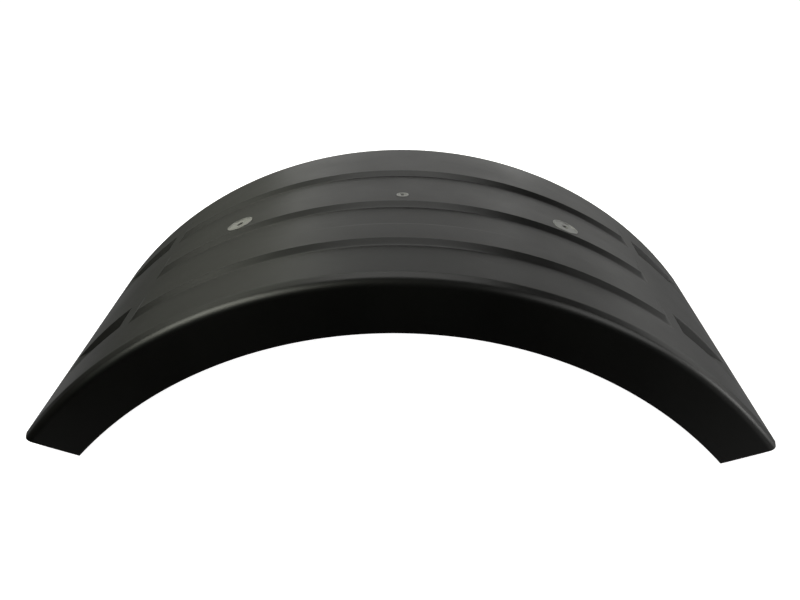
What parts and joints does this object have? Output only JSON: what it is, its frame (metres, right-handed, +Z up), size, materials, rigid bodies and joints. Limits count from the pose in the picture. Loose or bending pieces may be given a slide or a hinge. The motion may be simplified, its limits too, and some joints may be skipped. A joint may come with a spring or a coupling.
{
  "type": "rear fender",
  "caption": "Arched black plastic rear fender with raised ribs, wedge recesses near both ends, turned-down side flanges and flanged steel bushes for its bolts.",
  "frame": {"origin": "middle of the box, on the plane that the rim's four end corners stand on", "axes": "+X along the arch towards its right end, +Y from the outer side to the inner side of the wheels, +Z up through the crown"},
  "size_m": [1.0956, 0.636, 0.2902],
  "materials": {
    "shell": "satin black, moulded",
    "bush": "dull zinc grey"
  },
  "bodies": {
    "root": {"fender_shell": "shell", "left_bolt_bush": "bush", "right_bolt_bush": "bush", "centre_bolt_bush": "bush"}
  },
  "joints": []
}
